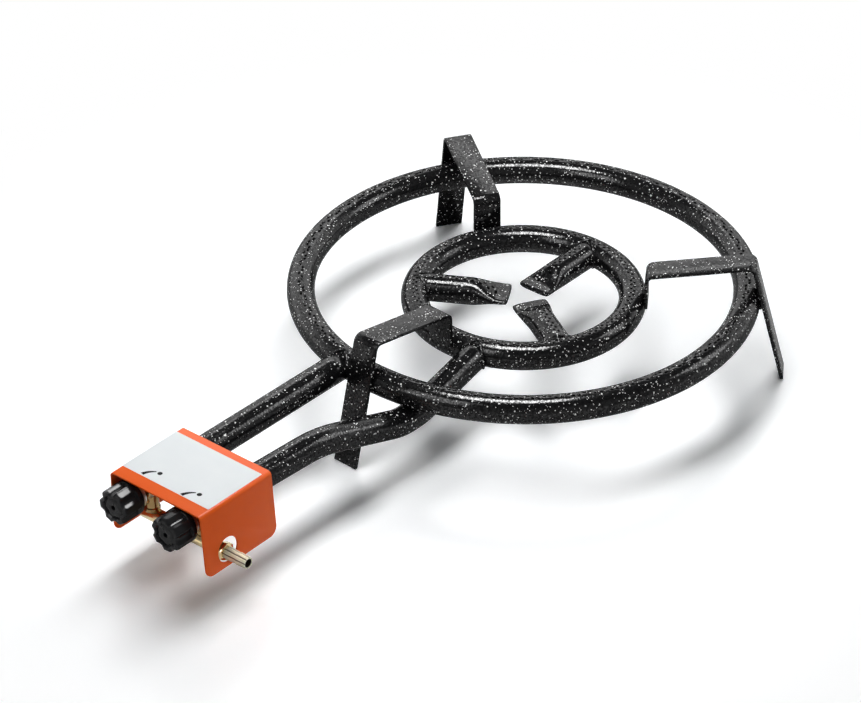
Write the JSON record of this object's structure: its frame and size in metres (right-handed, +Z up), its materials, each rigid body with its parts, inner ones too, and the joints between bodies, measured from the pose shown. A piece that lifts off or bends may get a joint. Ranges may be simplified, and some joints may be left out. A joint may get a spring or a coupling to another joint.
{
  "type": "paella burner",
  "caption": "Round gas burner for paella pans: concentric rings on bent bar brackets, fed through long tubes from push-and-turn taps under a folded sheet box.",
  "frame": {"origin": "on the ground, in the middle of the box that the whole burner fills", "axes": "+Z up; the control knobs face -Y and the rings lie at +Y; the hose nozzle points along +X"},
  "size_m": [0.4, 0.6536, 0.1081],
  "materials": {
    "enamel": "glossy black vitreous enamel with fine white speckles",
    "orange_paint": "satin orange powder coat",
    "label": "white printed vinyl",
    "brass": "bright turned brass",
    "zinc": "zinc-plated steel",
    "spring_steel": "drawn spring wire",
    "black_plastic": "glossy black thermoset",
    "fibre": "red-brown fibre sealing washer"
  },
  "bodies": {
    "burner": {"outer_ring": "enamel", "inner_ring": "enamel", "burner_finger_rear": "enamel", "burner_finger_left": "enamel", "burner_finger_right": "enamel", "outer_feed_tube": "enamel", "inner_feed_tube": "enamel", "pan_bracket_front": "enamel", "pan_bracket_right": "enamel", "pan_bracket_left": "enamel", "control_box": "orange_paint", "box_label": "label", "carrier_bar": "zinc", "box_screw_1": "zinc", "box_screw_2": "zinc", "gas_rail": "brass", "rail_end_plug": "brass", "nozzle_washer": "fibre", "hose_nozzle": "brass", "tap_body_left": "brass", "tap_bonnet_left": "zinc", "bonnet_screw_left_1": "zinc", "bonnet_screw_left_2": "zinc", "injector_left": "brass", "tube_bush_left": "zinc", "tap_body_right": "brass", "tap_bonnet_right": "zinc", "bonnet_screw_right_1": "zinc", "bonnet_screw_right_2": "zinc", "injector_right": "brass", "tube_bush_right": "zinc"},
    "plug_left": {"tap_plug_left": "brass", "return_spring_left": "spring_steel"},
    "control_left": {"knob_left": "black_plastic", "tap_spindle_left": "brass"},
    "plug_right": {"tap_plug_right": "brass", "return_spring_right": "spring_steel"},
    "control_right": {"knob_right": "black_plastic", "tap_spindle_right": "brass"}
  },
  "joints": [
    {"name": "tap_left_turn", "type": "hinge", "parent": "burner", "child": "plug_left", "pos_m": [-0.0398, -0.30075, 0.0695], "axis": [0, -1, 0], "range_deg": [0, 180]},
    {"name": "tap_left_push", "type": "slide", "parent": "plug_left", "child": "control_left", "axis": [0, 1, 0], "range_m": [0, 0.003], "stiffness_N_per_m": 1500, "deforming": ["return_spring_left"]},
    {"name": "tap_right_turn", "type": "hinge", "parent": "burner", "child": "plug_right", "pos_m": [0.016, -0.30075, 0.0695], "axis": [0, -1, 0], "range_deg": [0, 180]},
    {"name": "tap_right_push", "type": "slide", "parent": "plug_right", "child": "control_right", "axis": [0, 1, 0], "range_m": [0, 0.003], "stiffness_N_per_m": 1500, "deforming": ["return_spring_right"]}
  ]
}
